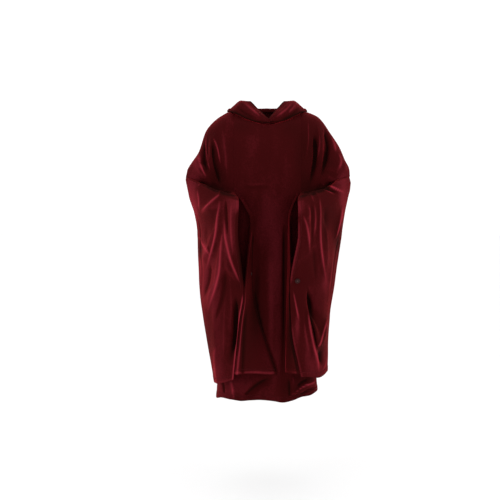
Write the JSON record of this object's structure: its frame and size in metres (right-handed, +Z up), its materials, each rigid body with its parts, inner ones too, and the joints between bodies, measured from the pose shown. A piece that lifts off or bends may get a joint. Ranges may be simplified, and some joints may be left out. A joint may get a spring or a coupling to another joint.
{
  "type": "meditation hooded cloak",
  "caption": "Hooded meditation cloak in soft fleece: long inner tunic, wide cape sleeves open at hand slits with front flaps, a press stud, and a hood laid back on the shoulders.",
  "frame": {"origin": "middle of the neck at shoulder height, where the cloak hangs on its wearer", "axes": "+Z up, the wearer faces -Y, the wearer's left is at +X"},
  "size_m": [0.6163, 0.5009, 1.1354],
  "materials": {
    "fleece": "soft short pile fleece, dark maroon red",
    "snap_dark": "dark plated, satin",
    "snap_grey": "grey plated, satin"
  },
  "bodies": {
    "root": {"front_panel": "fleece", "back_panel": "fleece", "right_sleeve": "fleece", "left_sleeve": "fleece", "right_front_flap": "fleece", "left_front_flap": "fleece", "hood_right": "fleece", "hood_left": "fleece", "left_snap": "snap_dark", "right_snap": "snap_grey"}
  },
  "joints": []
}
